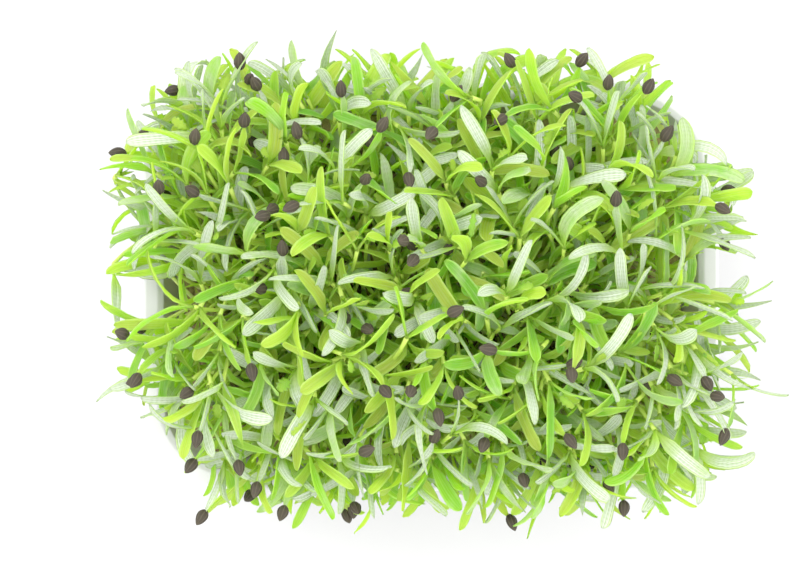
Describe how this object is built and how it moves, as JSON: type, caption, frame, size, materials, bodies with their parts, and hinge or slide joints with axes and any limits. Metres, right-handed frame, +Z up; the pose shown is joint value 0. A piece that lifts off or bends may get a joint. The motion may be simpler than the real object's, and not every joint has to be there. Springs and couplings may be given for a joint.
{
  "type": "microgreens tray",
  "caption": "A shallow tapered tray with a rolled rim, filled with growing medium and a dense stand of narrow-leaved seedlings, some with seed husks on their leaf tips.",
  "frame": {"origin": "centre of the tray's flat base, on the surface it stands on", "axes": "+Z up, +X along the tray's long side, +Y along its short side"},
  "size_m": [0.2028, 0.1514, 0.0955],
  "materials": {
    "tray_plastic": "satin",
    "growing_medium": "rough",
    "greens": "satin"
  },
  "bodies": {
    "root": {"tray": "tray_plastic", "growing_medium": "growing_medium", "tuft_01": "greens", "tuft_02": "greens", "tuft_03": "greens", "tuft_04": "greens", "tuft_05": "greens", "tuft_06": "greens", "tuft_07": "greens", "tuft_08": "greens", "tuft_09": "greens", "tuft_10": "greens", "tuft_11": "greens", "tuft_12": "greens", "tuft_13": "greens", "tuft_14": "greens", "tuft_15": "greens", "tuft_16": "greens", "tuft_17": "greens", "tuft_18": "greens", "tuft_19": "greens", "tuft_20": "greens", "tuft_21": "greens", "tuft_22": "greens", "tuft_23": "greens", "tuft_24": "greens", "tuft_25": "greens", "tuft_26": "greens", "tuft_27": "greens", "tuft_28": "greens", "tuft_29": "greens", "tuft_30": "greens", "tuft_31": "greens", "tuft_32": "greens", "tuft_33": "greens", "tuft_34": "greens", "tuft_35": "greens", "tuft_36": "greens", "tuft_37": "greens", "tuft_38": "greens", "tuft_39": "greens", "tuft_40": "greens", "tuft_41": "greens", "tuft_42": "greens", "tuft_43": "greens", "tuft_44": "greens", "tuft_45": "greens"}
  },
  "joints": []
}
